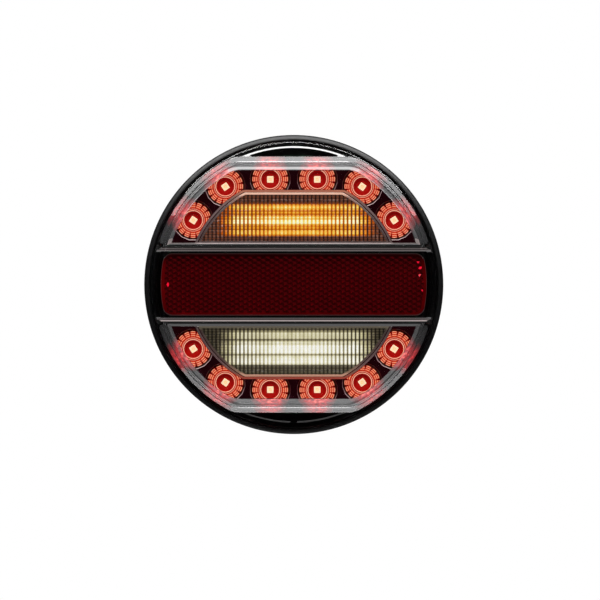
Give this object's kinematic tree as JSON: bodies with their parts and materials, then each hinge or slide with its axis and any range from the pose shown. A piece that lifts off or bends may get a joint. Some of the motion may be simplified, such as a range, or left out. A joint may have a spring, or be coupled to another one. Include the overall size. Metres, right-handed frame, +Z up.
{
  "type": "trailer tail light",
  "caption": "Round LED rear combination lamp for trailers: clear lens over red stop and tail optics, amber indicator, white reversing lamp and red reflex reflector, on rear studs.",
  "frame": {"origin": "centre of the back mounting face, midway between the studs", "axes": "+Y out of the back along the studs, so the lamp looks along -Y; +Z up with the indicator above; +X to the right seen from in front"},
  "size_m": [0.14, 0.054, 0.14],
  "materials": {
    "housing_black": "moulded black ABS, semi-gloss",
    "clear_lens": "clear polished polycarbonate",
    "reflector_red": "deep red acrylic with corner-cube prisms on its back",
    "bezel_black": "gloss black moulding",
    "optic_red": "clear fluted collimator, lit red",
    "lens_amber": "clear pillow lens, lit amber",
    "lens_white": "clear pillow lens, lit white",
    "reflector_white": "white moulded reflector",
    "led_emitter": "white ceramic LED package with a lit window",
    "board_green": "solder-masked circuit board",
    "electronics_black": "epoxy component body",
    "rubber_black": "black moulded rubber",
    "zinc_steel": "zinc-plated steel"
  },
  "bodies": {
    "lamp": {"rear_housing": "housing_black", "outer_lens": "clear_lens", "reflector_tile": "reflector_red", "upper_bezel": "bezel_black", "lower_bezel": "bezel_black", "reflector_backing": "bezel_black", "stop_optic_01": "optic_red", "stop_optic_02": "optic_red", "stop_optic_03": "optic_red", "stop_optic_04": "optic_red", "stop_optic_05": "optic_red", "stop_optic_06": "optic_red", "stop_optic_07": "optic_red", "stop_optic_08": "optic_red", "stop_optic_09": "optic_red", "stop_optic_10": "optic_red", "stop_optic_11": "optic_red", "stop_optic_12": "optic_red", "indicator_pillow_lens": "lens_amber", "reversing_pillow_lens": "lens_white", "indicator_light_box": "reflector_white", "reversing_light_box": "reflector_white", "wire_header": "reflector_white", "stop_led_01": "led_emitter", "stop_led_02": "led_emitter", "stop_led_03": "led_emitter", "stop_led_04": "led_emitter", "stop_led_05": "led_emitter", "stop_led_06": "led_emitter", "stop_led_07": "led_emitter", "stop_led_08": "led_emitter", "stop_led_09": "led_emitter", "stop_led_10": "led_emitter", "stop_led_11": "led_emitter", "stop_led_12": "led_emitter", "indicator_led_1": "led_emitter", "indicator_led_2": "led_emitter", "indicator_led_3": "led_emitter", "indicator_led_4": "led_emitter", "reversing_led_1": "led_emitter", "reversing_led_2": "led_emitter", "reversing_led_3": "led_emitter", "reversing_led_4": "led_emitter", "circuit_board": "board_green", "driver_chip": "electronics_black", "input_diode": "electronics_black", "lens_seal": "rubber_black", "cable_grommet": "rubber_black", "vent_plug": "rubber_black", "filter_capacitor": "zinc_steel", "board_screw_1": "zinc_steel", "board_screw_2": "zinc_steel", "board_screw_3": "zinc_steel", "board_screw_4": "zinc_steel", "mounting_stud_left": "zinc_steel", "mounting_stud_right": "zinc_steel"},
    "washer_left": {"stud_washer_left": "zinc_steel"},
    "nut_left": {"stud_nut_left": "zinc_steel"},
    "washer_right": {"stud_washer_right": "zinc_steel"},
    "nut_right": {"stud_nut_right": "zinc_steel"}
  },
  "joints": [
    {"name": "washer_left_travel", "type": "slide", "parent": "lamp", "child": "washer_left", "axis": [0, 1, 0], "range_m": [-0.003, 0.0154]},
    {"name": "nut_left_turn", "type": "hinge", "parent": "washer_left", "child": "nut_left", "pos_m": [-0.0225, 0.0076, 0], "axis": [0, 1, 0], "range_deg": [-1352, 6932]},
    {"name": "washer_right_travel", "type": "slide", "parent": "lamp", "child": "washer_right", "axis": [0, 1, 0], "range_m": [-0.003, 0.0154]},
    {"name": "nut_right_turn", "type": "hinge", "parent": "washer_right", "child": "nut_right", "pos_m": [0.0225, 0.0076, 0], "axis": [0, 1, 0], "range_deg": [-1352, 6932]}
  ],
  "couplings": [
    {"joint": "nut_left_turn", "follows": "washer_left_travel", "rad_per_m": 7854},
    {"joint": "nut_right_turn", "follows": "washer_right_travel", "rad_per_m": 7854}
  ]
}
